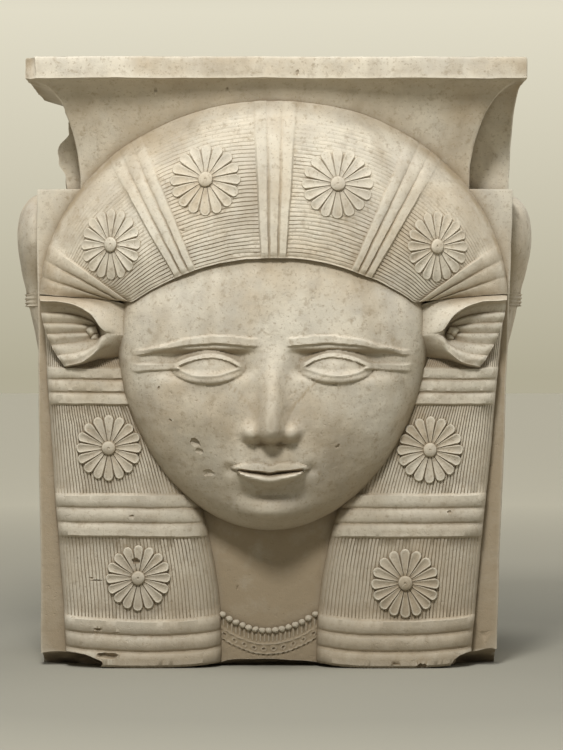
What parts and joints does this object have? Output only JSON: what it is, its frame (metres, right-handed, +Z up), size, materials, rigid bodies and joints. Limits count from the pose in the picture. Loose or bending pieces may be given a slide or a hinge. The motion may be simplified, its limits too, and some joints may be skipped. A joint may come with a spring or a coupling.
{
  "type": "egyptian column capital",
  "caption": "Carved limestone column capital: a woman's head with cow's ears and a banded wig on a block, under a cavetto and abacus.",
  "frame": {"origin": "middle of the flat underside, where the capital rests on its shaft", "axes": "+Z up, the face looks along -Y, +X to a viewer's right"},
  "size_m": [0.8963, 0.4318, 1.02],
  "materials": {
    "limestone": "matt cream limestone, tool-dressed, with brown stains and dirt in the hollows"
  },
  "bodies": {
    "root": {"capital": "limestone"}
  },
  "joints": []
}
